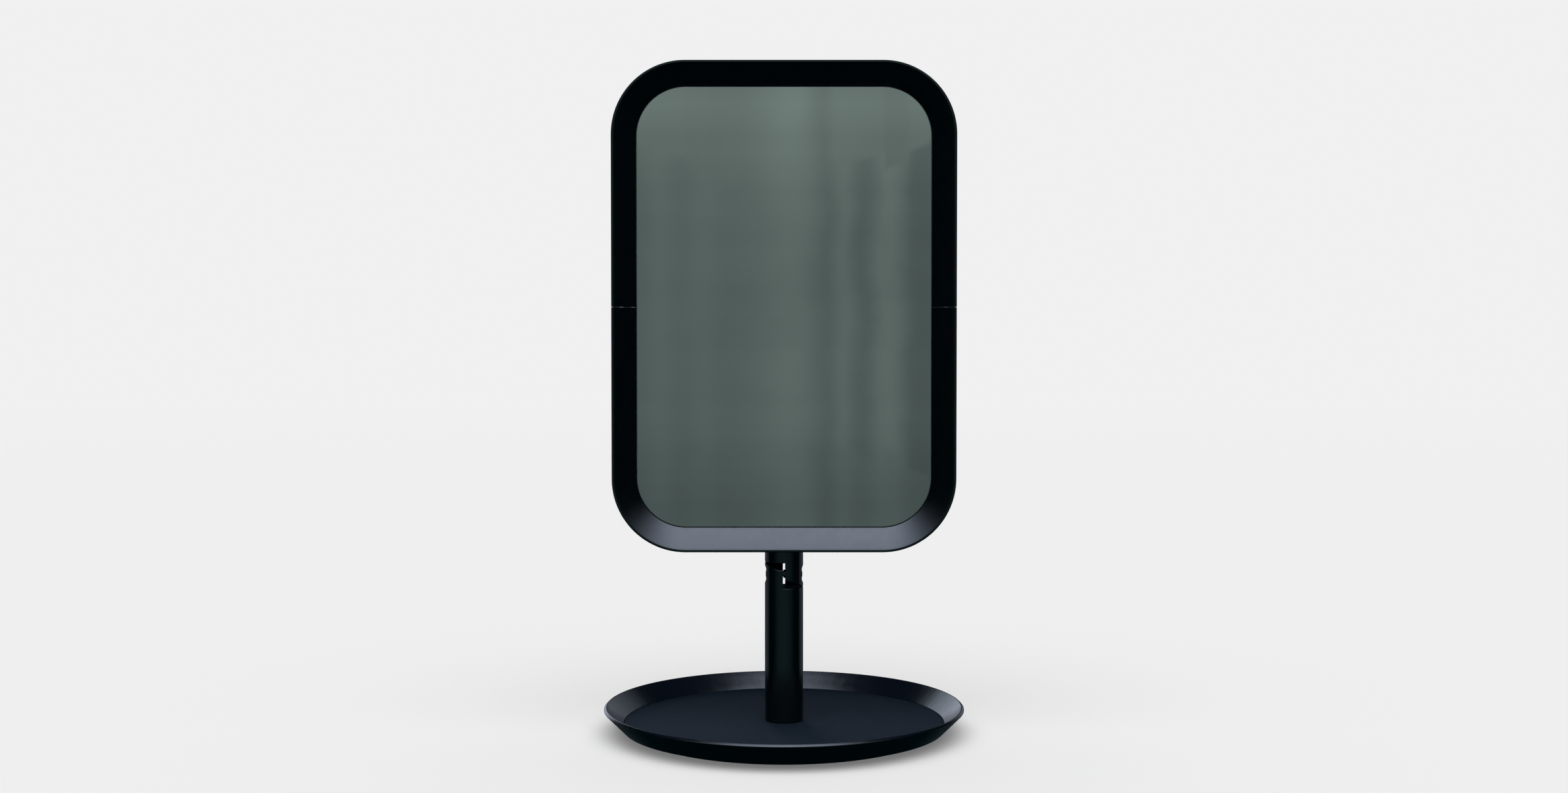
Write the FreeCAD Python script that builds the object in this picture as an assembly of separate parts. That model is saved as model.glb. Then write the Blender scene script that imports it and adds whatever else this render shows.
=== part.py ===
import FreeCAD, Part
import math
import os

# Countertop mirror: a dished round base, a short round post, a lap hinge and a framed glass.
# Millimetres. X is to the viewer's right, Y points away from the viewer, Z is up.
# The origin is on the surface the base stands on, below the middle of the post.

# Base tray, a turned dish with a straight flared wall
TRAY_RIM_R = 123.7
TRAY_LIP_W = 2.0
TRAY_LIP_H = 1.7
TRAY_LIP_SLOPE = 1.25
TRAY_BOTTOM_R = 110.6
TRAY_BOTTOM_Z = 3.0
TRAY_RIM_Z = 17.8
DISH_FLOOR_R = 110.1
DISH_FLOOR_Z = 6.9
MAT_THICK = 1.5
MAT_GAP = 0.35

# Foot below the tray
BALLAST_R = 101.8
PAD_Z = 1.0
PAD_R_OUT = 101.3
PAD_R_IN = 74.0
PLATE_SCREW_R = 52.0
PLATE_SCREWS = 4
DOWEL_R = 2.0
DOWEL_OFFSET = 8.0
DOWEL_Z = (3.3, 14.4)

# Post and lap hinge
POST_R = 13.2
POST_FOOT_EDGE = 0.8
SPIGOT_R = 11.5
HINGE_Z = 108.0
SLOT_HALF = 0.75
SHOULDER = 8.7
CROWN_TOP = 8.2
CROWN_R = 20.0
PIN_R = 2.1
PIN_HALF_LENGTH = 12.6
BUSH_R = 3.6
SPACER_R = 2.9
RUNNING_GAP = 0.05
TONGUE_EDGE = 0.4
BODY_GAP = 0.3
POCKET_R = 6.4
POCKET_X = 10.4
CAP_R = 6.05

# Head
FRAME_HALF_W = 116.9
FRAME_LOW_Z = 124.8
FRAME_HIGH_Z = 457.5
FRAME_CORNER_R = 50.0
RIM_Y = -18.0
LIP_W = 1.6
WALL_RUN = 15.85
GLASS_Y = -7.0
GLASS_THICK = 3.0
GLASS_EDGE_GAP = 0.4
TAPE_THICK = 0.8
WALL_THICK = 2.0
LAND_RUN = 28.0
SEAM_GAP = 0.04
PANEL_INSET = 22.3
PANEL_THICK = 3.0
BRACKET_THICK = 3.0
BRACKET_HALF_W = 28.0
BRACKET_Z = (140.8, 210.8)
STUB_TOP_Z = 204.4

# Levels that follow from the dimensions above
TRAY_FLOOR_Z = DISH_FLOOR_Z - MAT_THICK
LAND_FRONT_Y = GLASS_Y + GLASS_THICK + TAPE_THICK
LAND_BACK_Y = LAND_FRONT_Y + WALL_THICK
PANEL_BACK_Y = LAND_BACK_Y + PANEL_THICK
BRACKET_BACK_Y = PANEL_BACK_Y + BRACKET_THICK
SEAM_Z = (FRAME_LOW_Z + FRAME_HIGH_Z) / 2

# Screws that fix the head together: (x, z) of each
JOINER_D = 18.1
JOINER_DZ = (-15.0, -6.0, 6.0, 15.0)
PANEL_SCREW_D = 25.2
STUB_SCREW_Z = (158.4, 188.4)
BRACKET_SCREW_X = 21.0
BRACKET_SCREW_Z = (150.0, 203.4)


def vec(x, y, z):
    """A point or direction."""
    return FreeCAD.Vector(x, y, z)


def cylinder(radius, start, end):
    """A round bar from one point to another."""
    axis = end - start
    return Part.makeCylinder(radius, axis.Length, start, axis)


def cone(radius_1, radius_2, start, end):
    """A tapered round bar from one point to another."""
    axis = end - start
    return Part.makeCone(radius_1, radius_2, axis.Length, start, axis)


def block(low, high):
    """A box between two corners."""
    return Part.makeBox(high[0] - low[0], high[1] - low[1], high[2] - low[2], vec(*low))


def rounded_face(points, radii, place):
    """A flat face with the corners of a closed polygon rounded.

    place turns a flat (a, b) pair into a point in space.
    """
    count = len(points)
    ends = []
    for i in range(count):
        p = points[i]
        before = points[i - 1]
        after = points[(i + 1) % count]
        a = (p[0] - before[0], p[1] - before[1])
        b = (after[0] - p[0], after[1] - p[1])
        len_a = math.hypot(*a)
        len_b = math.hypot(*b)
        a = (a[0] / len_a, a[1] / len_a)
        b = (b[0] / len_b, b[1] / len_b)
        turn = math.acos(max(-1.0, min(1.0, a[0] * b[0] + a[1] * b[1])))
        radius = radii[i]
        if radius <= 0 or turn < 1e-6:
            ends.append((p, None, p))
            continue
        back = radius * math.tan(turn / 2)
        bis = (b[0] - a[0], b[1] - a[1])
        size = math.hypot(*bis)
        bis = (bis[0] / size, bis[1] / size)
        reach = radius / math.cos(turn / 2) - radius
        start = (p[0] - a[0] * back, p[1] - a[1] * back)
        middle = (p[0] + bis[0] * reach, p[1] + bis[1] * reach)
        end = (p[0] + b[0] * back, p[1] + b[1] * back)
        ends.append((start, middle, end))
    edges = []
    for i in range(count):
        start, middle, end = ends[i]
        if middle is not None:
            edges.append(Part.Arc(place(*start), place(*middle), place(*end)).toShape())
        following = ends[(i + 1) % count][0]
        if math.hypot(following[0] - end[0], following[1] - end[1]) > 1e-6:
            edges.append(Part.makeLine(place(*end), place(*following)))
    return Part.Face(Part.Wire(edges))


def turned(points, radii=None):
    """A solid turned about the Z axis from (radius, z) points."""
    radii = radii or [0.0] * len(points)
    face = rounded_face(points, radii, lambda r, z: vec(r, 0, z))
    return face.revolve(vec(0, 0, 0), vec(0, 0, 1), 360)


def turned_on_pin(points, radii=None):
    """A solid turned about the hinge pin from (x, radius) points."""
    radii = radii or [0.0] * len(points)
    face = rounded_face(points, radii, lambda x, r: vec(x, 0, HINGE_Z + r))
    return face.revolve(vec(0, 0, HINGE_Z), vec(1, 0, 0), 360)


def rounded_sheet(inset, front_y, back_y):
    """A sheet that follows the frame's outline, inset from its outer edge."""
    half = FRAME_HALF_W - inset
    low = FRAME_LOW_Z + inset
    high = FRAME_HIGH_Z - inset
    corner = FRAME_CORNER_R - inset
    points = [(-half, low), (half, low), (half, high), (-half, high)]
    face = rounded_face(points, [corner] * 4, lambda x, z: vec(x, front_y, z))
    return face.extrude(vec(0, back_y - front_y, 0))


def ring(pieces):
    """Fuse pieces that meet end to end into one clean solid."""
    whole = pieces[0].multiFuse(pieces[1:])
    return whole.removeSplitter()


def export(name, shape):
    """Write one node."""
    shape.exportStep("parts/" + name + ".step")


# ---------------------------------------------------------------- stand

def make_base_tray():
    """The dished base: flat floor, flared wall, rounded lip."""
    pts = [
        (0, TRAY_BOTTOM_Z),
        (TRAY_BOTTOM_R, TRAY_BOTTOM_Z),
        (TRAY_RIM_R, TRAY_RIM_Z - TRAY_LIP_H),
        (TRAY_RIM_R, TRAY_RIM_Z - TRAY_LIP_SLOPE),
        (TRAY_RIM_R - TRAY_LIP_SLOPE, TRAY_RIM_Z),
        (TRAY_RIM_R - TRAY_LIP_W, TRAY_RIM_Z),
        (DISH_FLOOR_R, DISH_FLOOR_Z),
        (DISH_FLOOR_R, TRAY_FLOOR_Z),
        (0, TRAY_FLOOR_Z),
    ]
    tray = turned(pts, [0, 0.6, 0.2, 0.5, 0.5, 0.3, 0.2, 0.2, 0])
    cuts = [cylinder(4.1, vec(0, 0, 0), vec(0, 0, 12))]
    cuts.append(cone(7.75, 4.1, vec(0, 0, PAD_Z), vec(0, 0, PAD_Z + 3.65)))
    for side in (-1, 1):
        x = side * DOWEL_OFFSET
        cuts.append(cylinder(DOWEL_R + 0.02, vec(x, 0, DOWEL_Z[0]), vec(x, 0, 12)))
    for x, y in ballast_screw_places():
        cuts.append(cylinder(2.05, vec(x, y, 0), vec(x, y, TRAY_FLOOR_Z - 0.4)))
    return tray.cut(Part.makeCompound(cuts))


def make_tray_mat():
    """Thin round mat laid in the dish, with a hole for the foot of the post."""
    pts = [
        (SPIGOT_R + 0.3, TRAY_FLOOR_Z),
        (DISH_FLOOR_R - MAT_GAP, TRAY_FLOOR_Z),
        (DISH_FLOOR_R - MAT_GAP, DISH_FLOOR_Z),
        (SPIGOT_R + 0.3, DISH_FLOOR_Z),
    ]
    return turned(pts, [0, 0, 0.3, 0])


def ballast_screw_places():
    """Centres of the screws that hold the ballast plate."""
    places = []
    for i in range(PLATE_SCREWS):
        angle = math.radians(45 + i * 360 / PLATE_SCREWS)
        places.append((PLATE_SCREW_R * math.cos(angle), PLATE_SCREW_R * math.sin(angle)))
    return places


def make_ballast_plate():
    """Round steel plate below the tray, set in from its edge."""
    pts = [
        (0, PAD_Z),
        (BALLAST_R, PAD_Z),
        (BALLAST_R, TRAY_BOTTOM_Z),
        (0, TRAY_BOTTOM_Z),
    ]
    plate = turned(pts, [0, 0.3, 0, 0])
    cuts = [cone(7.75, 5.75, vec(0, 0, PAD_Z - 0.01), vec(0, 0, TRAY_BOTTOM_Z + 0.01))]
    for x, y in ballast_screw_places():
        cuts.append(cone(4.15, 2.15, vec(x, y, PAD_Z - 0.01), vec(x, y, TRAY_BOTTOM_Z + 0.01)))
    return plate.cut(Part.makeCompound(cuts))


def make_plate_screws():
    """Countersunk screws holding the ballast plate to the tray."""
    screws = []
    for x, y in ballast_screw_places():
        head = cone(4.0, 2.0, vec(x, y, PAD_Z + 0.1), vec(x, y, PAD_Z + 2.0))
        shank = cylinder(2.0, vec(x, y, PAD_Z + 1.9), vec(x, y, TRAY_FLOOR_Z - 0.6))
        slot = block((x - 5, y - 0.5, PAD_Z), (x + 5, y + 0.5, PAD_Z + 0.8))
        screws.append(head.fuse(shank).cut(slot))
    return Part.makeCompound(screws)


def make_grip_ring():
    """Rubber ring the mirror stands on."""
    pts = [
        (PAD_R_IN, 0),
        (PAD_R_OUT, 0),
        (PAD_R_OUT, PAD_Z),
        (PAD_R_IN, PAD_Z),
    ]
    return turned(pts, [0.25, 0.25, 0, 0])


def make_post_screw():
    """Countersunk screw up through plate and tray into the post."""
    head = cone(7.5, 4.0, vec(0, 0, PAD_Z + 0.15), vec(0, 0, PAD_Z + 3.65))
    shank = cylinder(4.0, vec(0, 0, PAD_Z + 3.6), vec(0, 0, 32.0))
    tip = cone(4.0, 3.2, vec(0, 0, 32.0), vec(0, 0, 32.8))
    socket = hex_bar(2.5, vec(0, 0, PAD_Z), 2.6)
    return head.fuse([shank, tip]).removeSplitter().cut(socket)


def hex_bar(apothem, start, length):
    """A six-sided bar along +Z."""
    radius = apothem / math.cos(math.pi / 6)
    pts = [start + vec(radius * math.cos(i * math.pi / 3), radius * math.sin(i * math.pi / 3), 0)
           for i in range(7)]
    return Part.Face(Part.makePolygon(pts)).extrude(vec(0, 0, length))


def make_dowel_pins():
    """Two dowels that stop the post from turning on the tray."""
    pins = []
    for side in (-1, 1):
        x = side * DOWEL_OFFSET
        pins.append(cylinder(DOWEL_R, vec(x, 0, DOWEL_Z[0] + 0.1), vec(x, 0, DOWEL_Z[1])))
    return Part.makeCompound(pins)


def crowned_tongue(side, up):
    """Half-round hinge tongue with a crowned end.

    side is -1 for the left half and 1 for the right; up is 1 when it stands, -1 when it hangs.
    """
    low = HINGE_Z - SHOULDER - 1.0 if up > 0 else HINGE_Z - SHOULDER
    high = HINGE_Z + SHOULDER if up > 0 else HINGE_Z + SHOULDER + 1.0
    bar = cylinder(POST_R, vec(0, 0, low), vec(0, 0, high))
    near = SLOT_HALF * side
    far = 20.0 * side
    half = block((min(near, far), -20, low - 1), (max(near, far), 20, high + 1))
    centre = HINGE_Z + up * (CROWN_TOP - CROWN_R)
    crown = cylinder(CROWN_R, vec(-20, 0, centre), vec(20, 0, centre))
    tongue = bar.common(half).common(crown)
    buried = low if up > 0 else high
    edges = [e for e in tongue.Edges if abs(e.BoundBox.Center.z - buried) > 0.5]
    return tongue.makeFillet(TONGUE_EDGE, edges)


def pin_pocket(side, bore):
    """Cut for the pin through one tongue: a bore and a shallow pocket for the cap."""
    hole = cylinder(bore, vec(0, 0, HINGE_Z), vec(side * 20, 0, HINGE_Z))
    pocket = cylinder(POCKET_R, vec(side * POCKET_X, 0, HINGE_Z), vec(side * 20, 0, HINGE_Z))
    return hole.fuse(pocket)


def make_lower_post():
    """Round post with a spigot foot and a standing hinge tongue on the left."""
    pts = [
        (0, TRAY_FLOOR_Z),
        (SPIGOT_R, TRAY_FLOOR_Z),
        (SPIGOT_R, DISH_FLOOR_Z),
        (POST_R, DISH_FLOOR_Z),
        (POST_R, HINGE_Z - SHOULDER),
        (0, HINGE_Z - SHOULDER),
    ]
    post = turned(pts, [0, 0.4, 0, POST_FOOT_EDGE, 0.35, 0])
    post = post.fuse(crowned_tongue(-1, 1)).removeSplitter()
    cuts = [pin_pocket(-1, BUSH_R + 0.02)]
    cuts.append(cylinder(4.05, vec(0, 0, 0), vec(0, 0, 36)))
    for side in (-1, 1):
        x = side * DOWEL_OFFSET
        cuts.append(cylinder(DOWEL_R + 0.02, vec(x, 0, 0), vec(x, 0, DOWEL_Z[1] + 0.3)))
    return post.cut(Part.makeCompound(cuts))


def make_hinge_bush():
    """Plain bush in the post's tongue that the pin turns in."""
    pts = [
        (-POCKET_X, PIN_R + RUNNING_GAP),
        (-SLOT_HALF, PIN_R + RUNNING_GAP),
        (-SLOT_HALF, BUSH_R),
        (-POCKET_X, BUSH_R),
    ]
    return turned_on_pin(pts)


# ---------------------------------------------------------------- hinge parts that turn with the head

def make_pivot_pin():
    """Plain pin through both tongues."""
    pts = [
        (-PIN_HALF_LENGTH, 0),
        (PIN_HALF_LENGTH, 0),
        (PIN_HALF_LENGTH, PIN_R),
        (-PIN_HALF_LENGTH, PIN_R),
    ]
    return turned_on_pin(pts, [0, 0, 0.45, 0.45])


def make_spacer_washer():
    """Spacer on the pin in the slot between the tongues."""
    pts = [
        (-SLOT_HALF + BODY_GAP, PIN_R + 0.03),
        (SLOT_HALF, PIN_R + 0.03),
        (SLOT_HALF, SPACER_R),
        (-SLOT_HALF + BODY_GAP, SPACER_R),
    ]
    return turned_on_pin(pts, [0, 0, 0.15, 0.15])


def make_disc_springs():
    """Coned spring washers below each cap that press the joint together."""
    springs = []
    for side in (-1, 1):
        for start in (POCKET_X + BODY_GAP, POCKET_X + BODY_GAP + 0.36):
            pts = [
                (side * (start + 0.15), PIN_R + 0.1),
                (side * start, CAP_R - 0.6),
                (side * (start + 0.3), CAP_R - 0.6),
                (side * (start + 0.45), PIN_R + 0.1),
            ]
            springs.append(turned_on_pin(pts))
    return Part.makeCompound(springs)


def make_retaining_caps():
    """Dished push-on caps that hold the pin at both ends."""
    caps = []
    base = POCKET_X + BODY_GAP + 0.85
    for side in (-1, 1):
        pts = [
            (side * base, PIN_R + 0.01),
            (side * base, CAP_R - 0.3),
            (side * (base + 0.35), CAP_R),
            (side * (base + 0.75), CAP_R),
            (side * (base + 0.35), PIN_R + 1.0),
            (side * (base + 0.35), PIN_R + 0.01),
        ]
        caps.append(turned_on_pin(pts, [0, 0, 0, 0.15, 0.5, 0]))
    return Part.makeCompound(caps)


def make_upper_stub():
    """Round stub with a hanging tongue on the right and a flat that lies on the bracket."""
    top = FRAME_LOW_Z - 0.4
    low = HINGE_Z + SHOULDER
    pts = [(0, low), (POST_R, low), (POST_R, top), (0, top)]
    stub = turned(pts, [0, 0.35, 0, 0])
    flat = cylinder(POST_R, vec(0, 0, top - 1), vec(0, 0, STUB_TOP_Z))
    flat = flat.common(block((-20, BRACKET_BACK_Y, top - 2), (20, 20, STUB_TOP_Z + 1)))
    stub = stub.fuse([crowned_tongue(1, -1), flat]).removeSplitter()
    cuts = [pin_pocket(1, PIN_R + 0.02)]
    for z in STUB_SCREW_Z:
        cuts.append(cylinder(2.6, vec(0, 0, z), vec(0, 20, z)))
        cuts.append(cylinder(4.6, vec(0, POST_R - 4.2, z), vec(0, 20, z)))
    return stub.cut(Part.makeCompound(cuts))


# ---------------------------------------------------------------- head

def frame_points():
    """Section of the frame: (distance in from the outer edge, y)."""
    slope = (WALL_RUN - LIP_W, GLASS_Y - RIM_Y)
    length = math.hypot(*slope)
    across = (-slope[1] / length * WALL_THICK, slope[0] / length * WALL_THICK)
    grade = slope[1] / slope[0]
    back_at_0 = RIM_Y + across[1] - (LIP_W + across[0]) * grade
    seat = WALL_RUN - WALL_THICK
    return [
        (0, RIM_Y),
        (LIP_W, RIM_Y),
        (WALL_RUN, GLASS_Y),
        (WALL_RUN, LAND_FRONT_Y),
        (LAND_RUN, LAND_FRONT_Y),
        (LAND_RUN, LAND_BACK_Y),
        (seat, LAND_BACK_Y),
        (seat, back_at_0 + seat * grade),
        (0, back_at_0),
    ]


FRAME_RADII = [0.6, 0.5, 0.3, 0, 0.3, 0.3, 0.8, 0.8, 0.4]


def frame_half(up):
    """One half of the dished frame: up is 1 for the upper half and -1 for the lower."""
    pts = frame_points()
    edge_z = FRAME_HIGH_Z if up > 0 else FRAME_LOW_Z
    centre_z = edge_z - up * FRAME_CORNER_R
    start_z = SEAM_Z + up * SEAM_GAP / 2
    centre_x = FRAME_HALF_W - FRAME_CORNER_R
    pieces = []
    for side in (-1, 1):
        face = rounded_face(pts, FRAME_RADII, lambda d, y: vec(side * (FRAME_HALF_W - d), y, start_z))
        pieces.append(face.extrude(vec(0, 0, centre_z - start_z)))
        face = rounded_face(pts, FRAME_RADII, lambda d, y: vec(side * (FRAME_HALF_W - d), y, centre_z))
        pivot = vec(side * centre_x, 0, centre_z)
        pieces.append(face.revolve(pivot, vec(0, 1, 0), -90 * side * up))
    face = rounded_face(pts, FRAME_RADII, lambda d, y: vec(-centre_x, y, edge_z - up * d))
    pieces.append(face.extrude(vec(2 * centre_x, 0, 0)))
    half = ring(pieces)
    cuts = []
    for x, z in joiner_places() + panel_screw_places() + bracket_screw_places()[:2]:
        cuts.append(cylinder(1.55, vec(x, -6, z), vec(x, 4, z)))
    return half.cut(Part.makeCompound(cuts))


def joiner_places():
    """Centres of the joiner plate screws, four each side of the head."""
    places = []
    for side in (-1, 1):
        for dz in JOINER_DZ:
            places.append((side * (FRAME_HALF_W - JOINER_D), SEAM_Z + dz))
    return places


def panel_screw_places():
    """Centres of the back panel screws round its edge."""
    side_x = FRAME_HALF_W - PANEL_SCREW_D
    top_z = FRAME_HIGH_Z - PANEL_SCREW_D
    low_z = FRAME_LOW_Z + PANEL_SCREW_D
    places = []
    for side in (-1, 1):
        for dz in (-95, -35, 35, 95):
            places.append((side * side_x, SEAM_Z + dz))
        places.append((side * 50, top_z))
        places.append((side * 50, low_z))
    return places


def bracket_screw_places():
    """Centres of the bracket screws, the lower pair first."""
    places = []
    for z in BRACKET_SCREW_Z:
        for side in (-1, 1):
            places.append((side * BRACKET_SCREW_X, z))
    return places


def make_joiner_plates():
    """Flat strips that join the two frame halves behind the land."""
    plates = []
    for side in (-1, 1):
        x = side * (FRAME_HALF_W - JOINER_D)
        low = (x - 3.6, LAND_BACK_Y, SEAM_Z - 20)
        high = (x + 3.6, LAND_BACK_Y + 1.5, SEAM_Z + 20)
        plates.append(block(low, high))
    cuts = [cylinder(1.6, vec(x, -6, z), vec(x, 6, z)) for x, z in joiner_places()]
    return Part.makeCompound([plate.cut(Part.makeCompound(cuts)) for plate in plates])


def pan_screw(x, z, seat_y, length, radius, head_r, head_h):
    """Pan-head screw driven from behind towards the glass, with a cross recess."""
    shank = cylinder(radius, vec(x, seat_y - length, z), vec(x, seat_y + 0.1, z))
    head = cylinder(head_r, vec(x, seat_y, z), vec(x, seat_y + head_h, z))
    head = head.makeFillet(head_h * 0.45, [e for e in head.Edges if e.BoundBox.YMin > seat_y + head_h / 2
                                           and e.Closed and e.Length > 1])
    top = seat_y + head_h
    wide = head_r * 0.62
    slot_a = block((x - wide, top - head_h * 0.55, z - 0.28), (x + wide, top + 1, z + 0.28))
    slot_b = block((x - 0.28, top - head_h * 0.55, z - wide), (x + 0.28, top + 1, z + wide))
    return shank.fuse(head).removeSplitter().cut(slot_a.fuse(slot_b))


def make_joiner_screws():
    """Screws through the joiner plates into the land."""
    seat = LAND_BACK_Y + 1.5
    return Part.makeCompound([pan_screw(x, z, seat, 3.3, 1.5, 2.6, 1.4) for x, z in joiner_places()])


def make_mirror_glass():
    """Silvered glass with rounded corners and ground front edges."""
    glass = rounded_sheet(WALL_RUN + GLASS_EDGE_GAP, GLASS_Y, GLASS_Y + GLASS_THICK)
    front = [e for e in glass.Edges if e.BoundBox.YMax < GLASS_Y + 0.01]
    return glass.makeChamfer(0.5, front)


def make_glass_tape():
    """Foam tape between the glass and the land, one strip per side."""
    back = GLASS_Y + GLASS_THICK + TAPE_THICK
    half_x = FRAME_HALF_W - WALL_RUN
    low = FRAME_LOW_Z + WALL_RUN
    high = FRAME_HIGH_Z - WALL_RUN
    strips = []
    for side in (-1, 1):
        x0 = side * (half_x - 2.5)
        x1 = side * (half_x - 10.5)
        strips.append(block((min(x0, x1), back - TAPE_THICK, low + 36), (max(x0, x1), back, high - 36)))
    for z in (low + 2.5, high - 10.5):
        strips.append(block((36 - half_x, back - TAPE_THICK, z), (half_x - 36, back, z + 8)))
    return Part.makeCompound(strips)


def make_backing_board():
    """Board that fills the space between the glass and the back panel."""
    return rounded_sheet(LAND_RUN + 0.6, GLASS_Y + GLASS_THICK, LAND_BACK_Y)


def make_back_panel():
    """Flat panel that closes the back of the head."""
    panel = rounded_sheet(PANEL_INSET, LAND_BACK_Y, PANEL_BACK_Y)
    back = [e for e in panel.Edges if e.BoundBox.YMin > PANEL_BACK_Y - 0.01]
    panel = panel.makeFillet(0.8, back)
    cuts = [cylinder(1.6, vec(x, -6, z), vec(x, 8, z)) for x, z in panel_screw_places()]
    places = bracket_screw_places()
    cuts += [cylinder(1.6, vec(x, -6, z), vec(x, 8, z)) for x, z in places[:2]]
    cuts += [cylinder(2.52, vec(x, -6, z), vec(x, 8, z)) for x, z in places[2:]]
    return panel.cut(Part.makeCompound(cuts))


def make_panel_screws():
    """Screws round the back panel into the land."""
    return Part.makeCompound(
        [pan_screw(x, z, PANEL_BACK_Y, 4.9, 1.5, 2.6, 1.4) for x, z in panel_screw_places()])


def make_threaded_inserts():
    """Brass inserts in the back panel for the bracket's upper screws."""
    inserts = []
    for x, z in bracket_screw_places()[2:]:
        outer = cylinder(2.5, vec(x, LAND_BACK_Y, z), vec(x, PANEL_BACK_Y, z))
        inserts.append(outer.cut(cylinder(1.55, vec(x, -6, z), vec(x, 8, z))))
    return Part.makeCompound(inserts)


def make_mount_plate():
    """Flat bracket between the back panel and the stub."""
    half = BRACKET_HALF_W
    low, high = BRACKET_Z
    points = [(-half, low), (half, low), (half, high), (-half, high)]
    face = rounded_face(points, [6.0] * 4, lambda x, z: vec(x, PANEL_BACK_Y, z))
    plate = face.extrude(vec(0, BRACKET_THICK, 0))
    cuts = [cylinder(1.6, vec(x, 0, z), vec(x, 8, z)) for x, z in bracket_screw_places()]
    cuts += [cylinder(2.55, vec(0, 0, z), vec(0, 8, z)) for z in STUB_SCREW_Z]
    return plate.cut(Part.makeCompound(cuts))


def make_bracket_screws():
    """Screws that hold the bracket: the lower pair reach the frame's land."""
    return Part.makeCompound(
        [pan_screw(x, z, BRACKET_BACK_Y, 5.9, 1.5, 2.6, 1.4) for x, z in bracket_screw_places()])


def make_stub_screws():
    """Cap screws sunk in the back of the stub and threaded into the bracket."""
    screws = []
    for z in STUB_SCREW_Z:
        seat = POST_R - 4.2
        shank = cylinder(2.5, vec(0, PANEL_BACK_Y + 0.2, z), vec(0, seat + 0.1, z))
        head = cylinder(4.3, vec(0, seat, z), vec(0, seat + 3.0, z))
        socket = hex_bar(1.5, vec(0, 0, 0), 2.0)
        socket.rotate(vec(0, 0, 0), vec(1, 0, 0), -90)
        socket.translate(vec(0, seat + 1.2, z))
        screws.append(shank.fuse(head).removeSplitter().cut(socket))
    return Part.makeCompound(screws)


def main():
    """Build every node and write it."""
    os.makedirs("parts", exist_ok=True)
    export("base_tray", make_base_tray())
    export("tray_mat", make_tray_mat())
    export("ballast_plate", make_ballast_plate())
    export("plate_screws", make_plate_screws())
    export("grip_ring", make_grip_ring())
    export("post_screw", make_post_screw())
    export("dowel_pins", make_dowel_pins())
    export("lower_post", make_lower_post())
    export("hinge_bush", make_hinge_bush())
    export("pivot_pin", make_pivot_pin())
    export("spacer_washer", make_spacer_washer())
    export("disc_springs", make_disc_springs())
    export("retaining_caps", make_retaining_caps())
    export("upper_stub", make_upper_stub())
    export("frame_upper", frame_half(1))
    export("frame_lower", frame_half(-1))
    export("joiner_plates", make_joiner_plates())
    export("joiner_screws", make_joiner_screws())
    export("mirror_glass", make_mirror_glass())
    export("glass_tape", make_glass_tape())
    export("backing_board", make_backing_board())
    export("back_panel", make_back_panel())
    export("panel_screws", make_panel_screws())
    export("threaded_inserts", make_threaded_inserts())
    export("mount_plate", make_mount_plate())
    export("bracket_screws", make_bracket_screws())
    export("stub_screws", make_stub_screws())


main()
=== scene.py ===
"""Tilting countertop mirror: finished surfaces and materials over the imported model."""

import math

import bpy
import numpy as np
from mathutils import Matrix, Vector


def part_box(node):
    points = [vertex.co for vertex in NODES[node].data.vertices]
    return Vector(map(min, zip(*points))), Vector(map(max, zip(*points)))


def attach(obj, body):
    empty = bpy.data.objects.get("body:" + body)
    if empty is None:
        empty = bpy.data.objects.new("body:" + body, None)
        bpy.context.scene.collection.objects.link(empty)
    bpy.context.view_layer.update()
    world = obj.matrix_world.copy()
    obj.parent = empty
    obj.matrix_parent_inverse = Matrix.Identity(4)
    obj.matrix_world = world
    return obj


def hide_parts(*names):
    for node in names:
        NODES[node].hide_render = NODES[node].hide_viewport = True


bl_info = {
    "name": "Countertop Mirror",
    "version": (1, 0, 0),
    "blender": (4, 5, 0),
    "location": "View3D > Sidebar > Mirror",
    "description": "Builds a tilting countertop mirror: dished frame, glass, post and tray base",
    "category": "Add Mesh",
}

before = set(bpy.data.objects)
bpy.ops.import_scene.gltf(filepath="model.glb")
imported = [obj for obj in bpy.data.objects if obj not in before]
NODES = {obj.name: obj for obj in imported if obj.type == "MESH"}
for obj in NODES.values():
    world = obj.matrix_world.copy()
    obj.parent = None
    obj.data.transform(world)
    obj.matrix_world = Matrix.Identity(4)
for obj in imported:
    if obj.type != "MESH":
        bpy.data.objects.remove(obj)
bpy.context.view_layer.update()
MM = 0.001

# Where the camera stands in metres, how far it looks down in radians, and its lens in millimetres
CAMERA_PLACE = (0.0, -1.17974, 0.2626)
CAMERA_DIP = 0.0275
CAMERA_LENS = 39.42

# The floor's and the background's common grey, and half the floor's width in metres
PALE = (0.8714, 0.8714, 0.8714)
FLOOR_HALF = 60.0

# The grey primer under the lacquer, which on the frame's seam chamfers stands as painted
# glints, and the ground edge of the glass
PRIMER_AND_GLINT = (0.42, 0.46, 0.5)
GROUND_GLASS = (0.2, 0.24, 0.235)

TRAY_LOW, TRAY_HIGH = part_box("base_tray")
MAT_LOW, MAT_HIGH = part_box("tray_mat")
GLASS_LOW, GLASS_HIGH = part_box("mirror_glass")
UPPER_LOW, UPPER_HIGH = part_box("frame_upper")
LOWER_LOW, LOWER_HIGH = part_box("frame_lower")

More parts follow.
